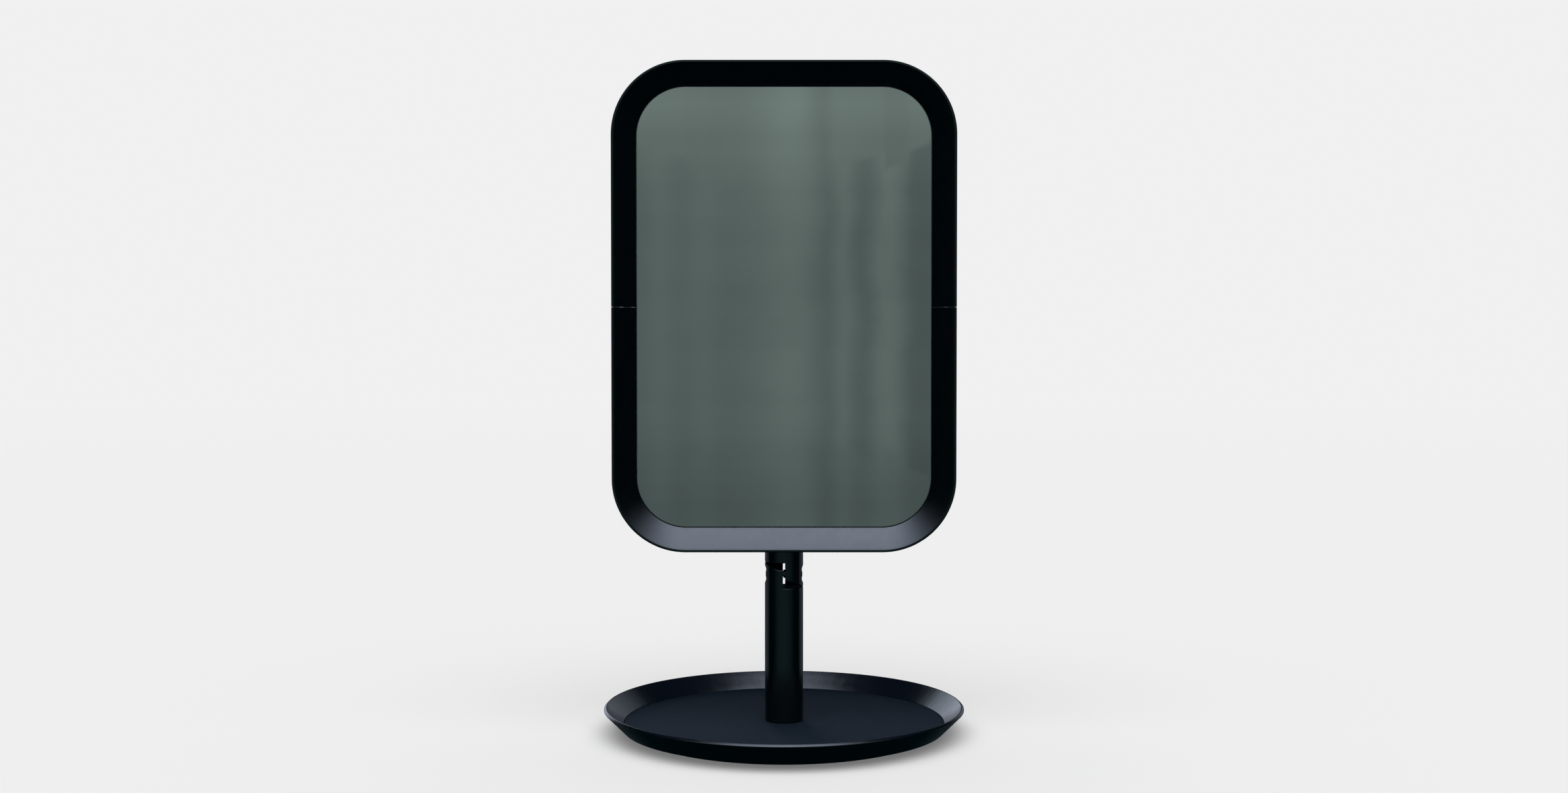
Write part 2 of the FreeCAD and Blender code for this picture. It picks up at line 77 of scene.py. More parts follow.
# How bright the room in front of the glass is, as (place, level) from left to right and from low
# to high
ROOM_BANDS = ((0.0, 0.76), (0.084, 0.785), (0.135, 0.87), (0.2, 0.8), (0.26, 0.86), (0.34, 0.81),
              (0.44, 0.9), (0.51, 1.0), (0.565, 0.95), (0.61, 0.8), (0.635, 0.8), (0.673, 0.95),
              (0.715, 0.77), (0.745, 0.77), (0.785, 0.98), (0.82, 0.98), (0.86, 0.74), (0.885, 0.64),
              (1.0, 0.66))
ROOM_HEIGHT = ((0.0, 0.48), (0.27, 0.49), (0.34, 0.56), (0.39, 0.635), (0.6, 0.655), (0.67, 0.67),
               (0.735, 0.72), (0.77, 0.8), (0.81, 0.87), (0.85, 0.99), (0.88, 0.93), (1.0, 0.9))


# ---------------------------------------------------------------- curves and surfaces

def rounded_outline(points, radii, steps=6):
    """A closed polygon with its corners turned into arcs.

    Each corner is swapped for points on the circle that touches both of its sides, so the line
    stays tangent. Returns an (n, 2) array.
    """
    pts = np.asarray(points, float)
    parts = []
    for i, p in enumerate(pts):
        a = p - pts[i - 1]
        b = pts[(i + 1) % len(pts)] - p
        a = a / np.linalg.norm(a)
        b = b / np.linalg.norm(b)
        turn = math.atan2(a[0] * b[1] - a[1] * b[0], float(a @ b))
        radius = radii[i]
        if radius <= 0 or abs(turn) < 1e-4:
            parts.append(p[None])
            continue
        start = p - a * radius * math.tan(abs(turn) / 2)
        side = math.copysign(1.0, turn)
        normal = side * np.array([-a[1], a[0]])
        centre = start + normal * radius
        sweep = np.linspace(0.0, turn, steps + 1)[:, None]
        arm = -normal * radius
        parts.append(centre + np.hstack([arm[0] * np.cos(sweep) - arm[1] * np.sin(sweep),
                                         arm[0] * np.sin(sweep) + arm[1] * np.cos(sweep)]))
    return np.vstack(parts)


def split_runs(outline, longest):
    """A closed outline with its long runs cut into equal shorter ones, so that bends shade evenly."""
    parts = []
    for i, p in enumerate(outline):
        q = outline[(i + 1) % len(outline)]
        count = max(1, int(math.ceil(np.linalg.norm(q - p) / longest)))
        t = np.arange(count)[:, None] / count
        parts.append(p + (q - p) * t)
    return np.vstack(parts)


def grid_faces(rows, columns, wrap_rows, wrap_columns):
    """Corner numbers of the quads of a rows x columns grid, joined end to end where it wraps."""
    i = np.arange(rows if wrap_rows else rows - 1)
    j = np.arange(columns if wrap_columns else columns - 1)
    i, j = np.meshgrid(i, j, indexing="ij")
    k = (i + 1) % rows
    n = (j + 1) % columns
    quads = np.stack([i * columns + j, k * columns + j, k * columns + n, i * columns + n], axis=-1)
    return quads.reshape(-1, 4)


def make_piece(name, points, faces, smooth_angle=35.0):
    """A mesh object from points in metres and a list of faces, shaded smooth below an angle."""
    mesh = bpy.data.meshes.new(name)
    mesh.from_pydata(points.tolist(), [], faces)
    mesh.validate()
    mesh.polygons.foreach_set("use_smooth", np.ones(len(mesh.polygons), dtype=bool))
    mesh.set_sharp_from_angle(angle=math.radians(smooth_angle))
    mesh.update()
    piece = bpy.data.objects.new(name, mesh)
    bpy.context.scene.collection.objects.link(piece)
    return piece


def turned_ring(name, outline, count, smooth_angle=35.0):
    """A closed outline of (radius, z) points carried round the Z axis.

    Point (i, j) is (r_i cos a_j, r_i sin a_j, z_i) with a_j evenly spaced over a full turn.
    """
    angle = np.arange(count) * (2 * math.pi / count)
    r = outline[:, 0][:, None]
    z = outline[:, 1][:, None]
    pts = np.stack([r * np.cos(angle), r * np.sin(angle), z + 0 * angle], axis=-1)
    faces = grid_faces(len(outline), count, True, True)
    return make_piece(name, pts.reshape(-1, 3), faces[:, ::-1].tolist(), smooth_angle)


# ---------------------------------------------------------------- materials

class Nodes:
    """Short calls for building a node tree."""

    def __init__(self, tree):
        self.tree = tree
        tree.nodes.clear()

    def add(self, kind, inputs=None, **settings):
        """A node with its settings, and its inputs either linked or set."""
        node = self.tree.nodes.new(kind)
        for key, value in settings.items():
            setattr(node, key, value)
        for key, value in (inputs or {}).items():
            if isinstance(value, bpy.types.NodeSocket):
                self.tree.links.new(value, node.inputs[key])
            else:
                node.inputs[key].default_value = value
        return node

    def math(self, operation, a, b=0.0, clamp=False):
        """One operation on two values."""
        node = self.add("ShaderNodeMath", {0: a, 1: b}, operation=operation, use_clamp=clamp)
        return node.outputs[0]

    def product(self, first, *others):
        """The product of its values."""
        for other in others:
            first = self.math("MULTIPLY", first, other)
        return first

    def ramp(self, value, low, high, out_low=0.0, out_high=1.0, smooth=True):
        """Carry a value from one range to another, held at both ends, eased unless told not to."""
        kind = "SMOOTHSTEP" if smooth else "LINEAR"
        node = self.add("ShaderNodeMapRange", {"Value": value, "From Min": low, "From Max": high,
                                               "To Min": out_low, "To Max": out_high},
                        interpolation_type=kind)
        return node.outputs["Result"]

    def window(self, value, start, full, fade, end):
        """1 between full and fade, easing to 0 at start and at end."""
        return self.product(self.ramp(value, start, full), self.ramp(value, end, fade))

    def stops(self, value, stops):
        """The grey level at a value, eased between (position, level) stops."""
        node = self.add("ShaderNodeValToRGB", {"Fac": value})
        elements = node.color_ramp.elements
        node.color_ramp.interpolation = "CARDINAL"
        while len(elements) < len(stops):
            elements.new(0.5)
        for element, (position, level) in zip(elements, stops):
            element.position = position
            element.color = (level, level, level, 1.0)
        return node.outputs["Color"]

    def noise(self, vector, scale, detail=2.0, rough=0.5):
        """Cloudy noise round 0.5."""
        node = self.add("ShaderNodeTexNoise", {"Vector": vector, "Scale": scale, "Detail": detail,
                                               "Roughness": rough})
        return node.outputs["Fac"]

    def mix(self, factor, a, b):
        """The blend of two colours: a (1 - f) + b f."""
        a, b = ((*c, 1.0) if isinstance(c, tuple) else c for c in (a, b))
        return self.add("ShaderNodeMix", {0: factor, 6: a, 7: b}, data_type="RGBA").outputs[2]

    def scaled(self, value, colour):
        """A colour multiplied by a value."""
        node = self.add("ShaderNodeVectorMath", {0: colour, "Scale": value}, operation="SCALE")
        return node.outputs[0]

    def total(self, first, *others):
        """The sum of its colours."""
        for other in others:
            first = self.add("ShaderNodeVectorMath", {0: first, 1: other}, operation="ADD").outputs[0]
        return first


def new_material(name):
    """A material with a Principled shader wired to its output, and its Object coordinates."""
    material = bpy.data.materials.new(name)
    material.use_nodes = True
    n = Nodes(material.node_tree)
    shader = n.add("ShaderNodeBsdfPrincipled")
    n.add("ShaderNodeOutputMaterial", {"Surface": shader.outputs["BSDF"]})
    coords = n.add("ShaderNodeTexCoord").outputs["Object"]
    return material, n, shader, coords


def fan_coordinates(n, coords, stretch):
    """The point (sin a, cos a, s r), from the angle a round the Z axis, the radius r and stretch s.

    Noise on it runs in streaks along the radius.
    """
    parts = n.add("ShaderNodeSeparateXYZ", {0: coords}).outputs
    x, y = parts["X"], parts["Y"]
    angle = n.math("ARCTAN2", y, x)
    radius = n.math("SQRT", n.math("ADD", n.product(x, x), n.product(y, y)))
    return n.add("ShaderNodeCombineXYZ", {"X": n.math("SINE", angle), "Y": n.math("COSINE", angle),
                                          "Z": n.product(radius, stretch)}).outputs[0]


def black_lacquer(name, dark, light, rough=(0.19, 0.23), peel=0.02, fan=0.0, bare=False):
    """Sprayed satin lacquer: near-black navy with faint cloudiness and fine orange peel.

    With fan above 0 its surface also has faint streaks that run out from the Z axis. With
    bare set, faces whose 'bare' value is 1 show the grey primer in places,
    specks that stand as painted glints along the seam.
    """
    material, n, shader, coords = new_material(name)
    link = n.tree.links.new
    colour = n.mix(n.noise(coords, 22.0, 3.0), dark, light)
    if bare:
        # painted highlight: grey primer specks on the marked faces, lighter than the lacquer, stand in
        # for the seam's glints
        primer_glint_specks = n.ramp(n.noise(coords, 260.0, 2.0), 0.5, 0.68, 0.1, 1.0)
        edge = n.add("ShaderNodeAttribute", attribute_name="bare").outputs["Fac"]
        colour = n.mix(n.product(primer_glint_specks, edge), colour, PRIMER_AND_GLINT)
    link(colour, shader.inputs["Base Color"])
    link(n.ramp(n.noise(coords, 160.0, 3.0, 0.6), 0.3, 0.7, *rough), shader.inputs["Roughness"])
    shader.inputs["Specular IOR Level"].default_value = 1.0
    shader.inputs["Specular Tint"].default_value = (0.75, 0.97, 1.0, 1.0)
    bump = n.add("ShaderNodeBump", {"Height": n.noise(coords, 700.0, 1.0), "Strength": peel,
                                    "Distance": 0.0002})
    if fan > 0:
        streaks = n.noise(fan_coordinates(n, coords, 4.0), 16.0, 3.0, 0.6)
        bump = n.add("ShaderNodeBump", {"Height": streaks, "Strength": fan, "Distance": 0.002,
                                        "Normal": bump.outputs["Normal"]})
    link(bump.outputs["Normal"], shader.inputs["Normal"])
    return material


def radial_mat(name, dark, light):
    """Matt sheet with faint streaks that run out from the middle, and painted light that makes it paler
    in front.
    """
    material, n, shader, coords = new_material(name)
    link = n.tree.links.new
    streaks = n.noise(fan_coordinates(n, coords, 3.0), 26.0, 4.0, 0.65)
    grain = n.noise(coords, 1500.0, 2.0)
    both = n.math("ADD", n.product(streaks, 0.8), n.product(grain, 0.2))
    depth = n.add("ShaderNodeSeparateXYZ", {0: coords}).outputs["Y"]
    # painted light: the colour is made paler towards the front (negative Y), where more light falls on
    # the mat
    front = n.ramp(depth, 0.05, -0.115, 0.0, 0.75, smooth=False)
    streaks_and_painted_light = n.math("ADD", n.ramp(both, 0.4, 0.6, 0.0, 0.3), front)
    link(n.mix(streaks_and_painted_light, dark, light), shader.inputs["Base Color"])
    link(n.ramp(grain, 0.2, 0.8, 0.62, 0.78), shader.inputs["Roughness"])
    shader.inputs["Specular IOR Level"].default_value = 0.32
    shader.inputs["Specular Tint"].default_value = (0.5, 0.8, 1.0, 1.0)
    bump = n.add("ShaderNodeBump", {"Height": grain, "Strength": 0.25, "Distance": 0.00015})
    link(bump.outputs["Normal"], shader.inputs["Normal"])
    return material


def turned_steel(name, colour, axis="X"):
    """Bare steel with fine turning rings square to one axis."""
    material, n, shader, coords = new_material(name)
    link = n.tree.links.new
    scale = {"X": (2600.0, 60.0, 60.0), "Y": (60.0, 2600.0, 60.0), "Z": (60.0, 60.0, 2600.0)}[axis]
    stretched = n.add("ShaderNodeMapping", {"Vector": coords, "Scale": scale}).outputs[0]
    rings = n.noise(stretched, 1.0, 3.0)
    deep = tuple(0.7 * c for c in colour)
    link(n.mix(rings, deep, colour), shader.inputs["Base Color"])
    link(n.ramp(rings, 0.3, 0.7, 0.24, 0.42), shader.inputs["Roughness"])
    shader.inputs["Metallic"].default_value = 1.0
    bump = n.add("ShaderNodeBump", {"Height": rings, "Strength": 0.1, "Distance": 0.00005})
    link(bump.outputs["Normal"], shader.inputs["Normal"])
    return material


def black_oxide(name):
    """Blackened screw steel with a faint oily mottle."""
    material, n, shader, coords = new_material(name)
    link = n.tree.links.new
    mottle = n.noise(coords, 900.0, 3.0)
    link(n.mix(mottle, (0.012, 0.012, 0.014), (0.045, 0.045, 0.05)), shader.inputs["Base Color"])
    link(n.ramp(mottle, 0.3, 0.7, 0.3, 0.5), shader.inputs["Roughness"])
    shader.inputs["Metallic"].default_value = 0.6
    return material


def grained_plastic(name, dark, light, size=900.0, depth=0.35):
    """Moulded sheet with a fine leathery grain."""
    material, n, shader, coords = new_material(name)
    link = n.tree.links.new
    cells = n.add("ShaderNodeTexVoronoi", {"Vector": coords, "Scale": size}, feature="SMOOTH_F1")
    broad = n.noise(coords, 35.0, 2.0)
    link(n.mix(broad, dark, light), shader.inputs["Base Color"])
    link(n.ramp(cells.outputs["Distance"], 0.0, 0.7, 0.5, 0.68), shader.inputs["Roughness"])
    bump = n.add("ShaderNodeBump", {"Height": cells.outputs["Distance"], "Strength": depth,
                                    "Distance": 0.00012})
    link(bump.outputs["Normal"], shader.inputs["Normal"])
    return material


def rubber(name):
    """Black rubber with a dusty bloom."""
    material, n, shader, coords = new_material(name)
    link = n.tree.links.new
    bloom = n.noise(coords, 120.0, 4.0, 0.6)
    link(n.mix(bloom, (0.008, 0.008, 0.009), (0.022, 0.022, 0.024)), shader.inputs["Base Color"])
    link(n.ramp(bloom, 0.3, 0.7, 0.75, 0.92), shader.inputs["Roughness"])
    bump = n.add("ShaderNodeBump", {"Height": n.noise(coords, 1800.0, 2.0), "Strength": 0.3,
                                    "Distance": 0.0001})
    link(bump.outputs["Normal"], shader.inputs["Normal"])
    return material


def fibre(name, dark, light):
    """Pressed board or foam with a fibrous mottle."""
    material, n, shader, coords = new_material(name)
    link = n.tree.links.new
    drawn = n.add("ShaderNodeMapping", {"Vector": coords, "Scale": (900.0, 900.0, 240.0)}).outputs[0]
    strands = n.noise(drawn, 1.0, 4.0, 0.7)
    link(n.mix(strands, dark, light), shader.inputs["Base Color"])
    link(n.ramp(strands, 0.2, 0.8, 0.8, 0.95), shader.inputs["Roughness"])
    return material


def silvered_glass(name):
    """Mirror glass: silvered face with a faint green tint, ground edge where 'ground' is 1."""
    material, n, shader, coords = new_material(name)
    link = n.tree.links.new
    ground = n.add("ShaderNodeAttribute", attribute_name="ground").outputs["Fac"]
    drawn = n.add("ShaderNodeMapping", {"Vector": coords, "Scale": (14.0, 14.0, 5.0)}).outputs[0]
    wipe = n.noise(drawn, 1.0, 3.0)
    face = n.mix(wipe, (0.84, 0.885, 0.865), (0.87, 0.91, 0.89))
    link(n.mix(ground, face, GROUND_GLASS), shader.inputs["Base Color"])
    polish = n.ramp(wipe, 0.3, 0.7, 0.012, 0.03)
    link(n.math("ADD", polish, n.product(ground, 0.25)), shader.inputs["Roughness"])
    link(n.math("SUBTRACT", 1.0, n.product(ground, 0.6)), shader.inputs["Metallic"])
    return material


# ---------------------------------------------------------------- settings

class MirrorSizes(bpy.types.PropertyGroup):
    """Sizes that a user would change."""

    corner: bpy.props.FloatProperty(
        name="Frame corner", description="Radius of the frame's outer corners",
        default=50.0 * MM, unit="LENGTH")
    lip: bpy.props.FloatProperty(
        name="Frame lip", description="Width of the flat lip at the frame's outer edge",
        default=1.6 * MM, unit="LENGTH")
    wall_run: bpy.props.FloatProperty(
        name="Frame wall", description="Distance in from the outer edge to the foot of the sloped wall",
        default=15.85 * MM, unit="LENGTH")
    land_run: bpy.props.FloatProperty(
        name="Frame land", description="Distance in from the outer edge to the inner edge of the land",
        default=28.0 * MM, unit="LENGTH")
    thick: bpy.props.FloatProperty(
        name="Sheet thickness", description="Thickness of the frame's wall and land",
        default=2.0 * MM, unit="LENGTH")
    wall_bow: bpy.props.FloatProperty(
        name="Wall bow", description="How far the sloped wall bows in the middle",
        default=-0.14 * MM, unit="LENGTH")
    tray_lip: bpy.props.FloatProperty(
        name="Tray lip", description="Width of the tray's rounded lip",
        default=2.0 * MM, unit="LENGTH")
    tray_lip_height: bpy.props.FloatProperty(
        name="Tray lip height", description="Height of the tray's rounded lip",
        default=1.7 * MM, unit="LENGTH")
    tray_lip_slope: bpy.props.FloatProperty(
        name="Tray lip slope", description="Width and height of the sloping outer face of the tray's lip",
        default=1.25 * MM, unit="LENGTH")
    tray_foot: bpy.props.FloatProperty(
        name="Tray foot radius", description="Radius of the tray's flat underside",
        default=110.6 * MM, unit="LENGTH")
    dish_floor: bpy.props.FloatProperty(
        name="Dish floor radius", description="Radius of the flat floor inside the dish",
        default=110.1 * MM, unit="LENGTH")
    tray_hole: bpy.props.FloatProperty(
        name="Tray hole", description="Radius of the tray's hole for the post's screw",
        default=4.3 * MM, unit="LENGTH")
    mat_hole: bpy.props.FloatProperty(
        name="Mat hole", description="Radius of the mat's hole under the post",
        default=11.8 * MM, unit="LENGTH")
    glass_corner: bpy.props.FloatProperty(
        name="Glass corner", description="Radius of the glass's corners",
        default=33.75 * MM, unit="LENGTH")
    arris: bpy.props.FloatProperty(
        name="Glass arris", description="Width of the ground arris round the glass's face",
        default=0.5 * MM, unit="LENGTH")
    seam_chamfer: bpy.props.FloatProperty(
        name="Seam chamfer", description="Width of the chamfer where the frame's halves meet",
        default=0.12 * MM, unit="LENGTH")
    seam_nick: bpy.props.FloatProperty(
        name="Seam nick", description="Depth of the nick that the seam has at the frame's outer edge",
        default=1.0 * MM, unit="LENGTH")
    seam_reach: bpy.props.FloatProperty(
        name="Seam nick reach", description="How far in from the outer edge the nick draws the seam",
        default=2.4 * MM, unit="LENGTH")


class MirrorColours(bpy.types.PropertyGroup):
    """Colours that a user would change."""

    lacquer_dark: bpy.props.FloatVectorProperty(
        name="Lacquer", description="Darker colour of the lacquer", subtype="COLOR",
        default=(0.0001, 0.0006, 0.001))
    lacquer_light: bpy.props.FloatVectorProperty(
        name="Lacquer light", description="Lighter colour of the lacquer's clouding", subtype="COLOR",
        default=(0.0003, 0.0012, 0.0018))
    mat_dark: bpy.props.FloatVectorProperty(
        name="Mat", description="Darker colour of the tray mat", subtype="COLOR",
        default=(0.003, 0.0085, 0.0175))
    mat_light: bpy.props.FloatVectorProperty(
        name="Mat light", description="Lighter colour of the tray mat's streaks", subtype="COLOR",
        default=(0.0085, 0.0165, 0.0278))
    floor: bpy.props.FloatVectorProperty(
        name="Floor", description="Colour of the floor", subtype="COLOR", default=PALE)
    floor_glow: bpy.props.FloatProperty(
        name="Floor glow", description="Light that the floor gives of itself, which lifts its shadows",
        default=0.17, subtype="FACTOR", min=0.0, max=0.5)


def lacquer(name="satin_lacquer", **finish):
    """The lacquer of tray, post and frame, made once under each name with its own finish."""
    found = bpy.data.materials.get(name)
    if found:
        return found
    colours = bpy.context.scene.mirror_colours
    return black_lacquer(name, tuple(colours.lacquer_dark), tuple(colours.lacquer_light), **finish)


def paint(piece, material):
    """Give a piece one material."""
    piece.data.materials.clear()
    piece.data.materials.append(material)


# ---------------------------------------------------------------- operators

class MIRROR_OT_stage(bpy.types.Operator):
    """Lay the floor, set the soft light and place the camera"""

    bl_idname = "mirror.stage"
    bl_label = "Stage"

    def execute(self, context):
        scene = context.scene
        scene.view_settings.view_transform = "Standard"
        lay_floor(scene.mirror_colours)
        set_light(scene)
        place_camera(scene)
        return {"FINISHED"}


def lay_floor(colours):
    """A wide pale sheet whose far part glows as bright as the background, so no horizon shows."""
    corners = np.array([[-1, -1, 0], [1, -1, 0], [1, 1, 0], [-1, 1, 0]]) * FLOOR_HALF
    floor = make_piece("floor", corners, [[0, 1, 2, 3]])
    material, n, shader, coords = new_material("floor_paper")
    glow = colours.floor_glow
    pale = tuple(colours.floor)
    away = n.add("ShaderNodeVectorMath", {0: coords}, operation="LENGTH").outputs["Value"]
    far = n.ramp(away, 1.5, 8.0)
    near_paper = tuple(c - glow for c in pale)
    n.tree.links.new(n.mix(far, near_paper, (0.0, 0.0, 0.0)), shader.inputs["Base Color"])
    n.tree.links.new(n.mix(far, (glow, glow, glow), pale), shader.inputs["Emission Color"])
    shader.inputs["Emission Strength"].default_value = 1.0
    shader.inputs["Roughness"].default_value = 1.0
    shader.inputs["Specular IOR Level"].default_value = 0.0
    paint(floor, material)
    floor.visible_glossy = False


def place_camera(scene):
    """The camera, in front and a little above the middle, looking slightly down."""
    camera_data = bpy.data.cameras.new("camera")
    camera_data.sensor_width = 36.0
    camera_data.lens = CAMERA_LENS
    camera_data.clip_end = 200.0
    camera = bpy.data.objects.new("camera", camera_data)
    camera.location = CAMERA_PLACE
    camera.rotation_euler = (math.pi / 2 - CAMERA_DIP, 0.0, 0.0)
    scene.collection.objects.link(camera)
    scene.camera = camera


def set_light(scene):
    """Soft studio light: an even dome for shading, a bright ceiling and a dim room for gloss."""
    world = bpy.data.worlds.new("studio")
    world.use_nodes = True
    world.cycles.sampling_method = "NONE"
    scene.world = world
    n = Nodes(world.node_tree)
    direction = n.add("ShaderNodeTexCoord").outputs["Generated"]
    parts = n.add("ShaderNodeSeparateXYZ", {0: direction}).outputs
    x, y, z = parts["X"], parts["Y"], parts["Z"]
    gloss = n.total(ceiling_light(n, y, z), room_light(n, direction, x, y, z),
                    panel_light(n, x, y, z), (0.001, 0.009, 0.012))
    path = n.add("ShaderNodeLightPath").outputs
    lit = n.mix(path["Is Glossy Ray"], dome_light(n, y, z), gloss)
    seen = n.mix(path["Is Camera Ray"], lit, PALE)
    background = n.add("ShaderNodeBackground", {"Color": seen})
    n.add("ShaderNodeOutputWorld", {"Surface": background.outputs[0]})


def dome_light(n, y, z):
    """Light for shading: a wide soft light overhead, times 1 - 0.7 y so that the front is brighter."""
    lean = n.math("ADD", n.product(y, -0.7), 1.0)
    return n.scaled(n.product(n.ramp(z, 0.55, 0.8, 0.03, 1.8), lean), (1.0, 1.0, 1.0))


def ceiling_light(n, y, z):
    """Gloss: a light above and in front.

    Its level is the fourth power of the rise (z - 0.22) / 0.71, faded out towards the back.
    """
    rise = n.math("DIVIDE", n.math("SUBTRACT", z, 0.22), 0.71, clamp=True)
    level = n.product(n.math("POWER", rise, 4.0), n.ramp(y, 0.0, -0.27, 0.0, 2.45))
    return n.scaled(level, (1.15, 1.02, 1.2))


def room_light(n, direction, x, y, z):
    """Gloss: a dim grey-green room in front of the glass, in soft upright bands.

    A band's place is x / |y|, with a little noise, and its level is also shaded by height. Below
    the glass the room is bluer.
    """
    front = n.ramp(y, -0.35, -0.97)
    across = n.math("DIVIDE", x, n.math("MAXIMUM", n.math("ABSOLUTE", y), 0.05))
    ragged = n.math("SUBTRACT", n.noise(direction, 30.0, 3.0, 0.6), 0.5)
    across = n.math("ADD", across, n.product(ragged, 0.012))
    bands = n.stops(n.ramp(across, -0.1, 0.1, smooth=False), ROOM_BANDS)
    height = n.stops(n.ramp(z, -0.2, 0.2, smooth=False), ROOM_HEIGHT)
    clouds = n.ramp(n.noise(direction, 14.0, 2.0), 0.3, 0.7, 0.965, 1.03)
    shelves = n.noise(n.add("ShaderNodeCombineXYZ", {"Z": z}).outputs[0], 42.0, 2.0)
    room = n.product(shelf_line(n, across, z, bands), height, front, n.ramp(z, -0.5, -0.2), clouds,
                     n.ramp(shelves, 0.35, 0.65, 0.97, 1.02))
    low = n.product(n.window(z, -0.11, -0.15, -0.3, -0.45), front)
    return n.total(n.scaled(room, (0.183, 0.217, 0.2)), n.scaled(low, (0.0, 0.03, 0.046)))


def shelf_line(n, across, z, bands):
    """Keep the room's upright bands between a stepped upper and a stepped lower line.

    Outside the lines the bands give way to an even tone: b + (e - b) k, where k is 1 above the
    upper line, 0.5 below the lower one and 0 between them and in the middle of the room.
    """
    wide = n.math("ABSOLUTE", across)
    column = n.math("FLOOR", n.product(across, 70.0))
    step = n.add("ShaderNodeTexWhiteNoise", {"W": column}, noise_dimensions="1D").outputs["Value"]
    upper = n.math("ADD", n.math("ADD", n.product(wide, 0.3), n.product(step, 0.012)), 0.086)
    lower = n.math("ADD", n.math("ADD", n.product(across, -0.35), n.product(step, -0.01)), -0.038)
    over = n.product(n.ramp(n.math("SUBTRACT", z, upper), -0.002, 0.002), n.ramp(wide, 0.02, 0.034))
    under = n.product(n.ramp(n.math("SUBTRACT", lower, z), -0.002, 0.002),
                      n.ramp(across, 0.02, 0.034, 0.0, 0.5))
    even = n.math("ADD", n.product(step, 0.06), 0.83)
    gap = n.math("SUBTRACT", even, bands)
    return n.math("ADD", bands, n.product(gap, n.math("ADD", over, under)))


def panel_light(n, x, y, z):
    """Gloss: a pale panel behind on either side, the left one brighter, with a dark gap between.

    Under the panels is a faint glow that grows to the sides, and overhead a faint navy one.
    """
    left = n.product(n.window(x, -0.07, -0.19, -0.48, -0.62), 0.85)
    right = n.product(n.window(x, 0.07, 0.19, 0.48, 0.62), 0.24)
    behind = n.product(n.ramp(y, 0.2, 0.7), n.window(z, -0.15, 0.08, 0.4, 0.58))
    panels = n.product(n.math("ADD", left, right), behind)
    aside = n.ramp(n.math("ABSOLUTE", x), 0.05, 0.65, 0.015, 0.13)
    under = n.product(n.window(z, -0.6, -0.1, -0.08, 0.05), n.ramp(y, 0.15, 0.45), aside)
    above = n.scaled(n.ramp(z, 0.35, 0.8), (0.022, 0.024, 0.056))
    return n.total(n.scaled(n.math("ADD", panels, under), (1.08, 1.12, 1.32)), above)


class MIRROR_OT_base_tray(bpy.types.Operator):
    """Turn the dished tray from its section"""

    bl_idname = "mirror.base_tray"
    bl_label = "Base tray"

    def execute(self, context):
        sizes = context.scene.mirror_sizes
        rim = float(TRAY_HIGH[2])
        low = float(TRAY_LOW[2])
        floor = float(MAT_LOW[2])
        radius = float(TRAY_HIGH[0])
        slope = sizes.tray_lip_slope
        hole = sizes.tray_hole
        section = [(hole, low), (sizes.tray_foot, low), (radius, rim - sizes.tray_lip_height),
                   (radius, rim - slope), (radius - slope, rim), (radius - sizes.tray_lip, rim),
                   (sizes.dish_floor, float(MAT_HIGH[2])), (sizes.dish_floor, floor), (hole, floor)]
        rounds = np.array([0, 0.6, 0.2, 0.5, 0.5, 0.3, 0.3, 0.2, 0]) * MM
        outline = rounded_outline(section, rounds, 8)
        tray = turned_ring("base_tray_turned", split_runs(outline, 6 * MM), 360)
        paint(tray, lacquer("streaked_lacquer", fan=0.06))
        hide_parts("base_tray")
        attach(tray, "stand")
        return {"FINISHED"}


class MIRROR_OT_tray_mat(bpy.types.Operator):
    """Lay the matt disc in the dish"""

    bl_idname = "mirror.tray_mat"
    bl_label = "Tray mat"

    def execute(self, context):
        colours = context.scene.mirror_colours
        low = float(MAT_LOW[2])
        high = float(MAT_HIGH[2])
        radius = float(MAT_HIGH[0])
        hole = context.scene.mirror_sizes.mat_hole
        section = [(hole, low), (radius, low), (radius, high), (hole, high)]
        outline = rounded_outline(section, [0, 0, 0.35 * MM, 0.1 * MM], 5)
        mat = turned_ring("tray_mat_disc", split_runs(outline, 9 * MM), 360)
        paint(mat, radial_mat("mat_sheet", tuple(colours.mat_dark), tuple(colours.mat_light)))
        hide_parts("tray_mat")
        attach(mat, "stand")
        return {"FINISHED"}


def frame_section(sizes):
    """Section of the dished frame as (distance in, y) points, from its sizes.

    The lip is flat, the wall slopes back to the glass along a line that bows by a parabola
    4 b t (1 - t), and the land lies flat behind the glass.
    """
    front = float(LOWER_LOW[1])
    back = float(LOWER_HIGH[1])
    glass = float(GLASS_LOW[1])
    land = back - sizes.thick
    slope = np.array([sizes.wall_run - sizes.lip, glass - front])
    length = np.linalg.norm(slope)
    across = np.array([-slope[1], slope[0]]) / length * sizes.thick
    grade = slope[1] / slope[0]
    behind = front + across[1] - (sizes.lip + across[0]) * grade
    seat = sizes.wall_run - sizes.thick
    t = np.linspace(0, 1, 9)[1:-1]
    bow = 4 * sizes.wall_bow * t * (1 - t)
    wall = (np.array([sizes.lip, front]) + slope * t[:, None]
            + np.array([slope[1], -slope[0]]) / length * -bow[:, None])
    points = [(0, front), (sizes.lip, front), *wall.tolist(), (sizes.wall_run, glass),
              (sizes.wall_run, land), (sizes.land_run, land), (sizes.land_run, back),
              (seat, back), (seat, behind + seat * grade), (0, behind)]
    rounds = np.array([0.6, 0.5, *([0] * len(wall)), 0.3, 0, 0.3, 0.3, 0.8, 0.8, 0.4]) * MM
    return rounded_outline(points, rounds, 5)


def outline_normals(outline):
    """Outward direction at each point of a closed outline that runs with its inside on the left."""
    ahead = np.roll(outline, -1, axis=0) - outline
    behind = outline - np.roll(outline, 1, axis=0)
    ahead /= np.linalg.norm(ahead, axis=1)[:, None]
    behind /= np.linalg.norm(behind, axis=1)[:, None]
    along = ahead + behind
    along /= np.linalg.norm(along, axis=1)[:, None]
    return np.stack([along[:, 1], -along[:, 0]], axis=1)


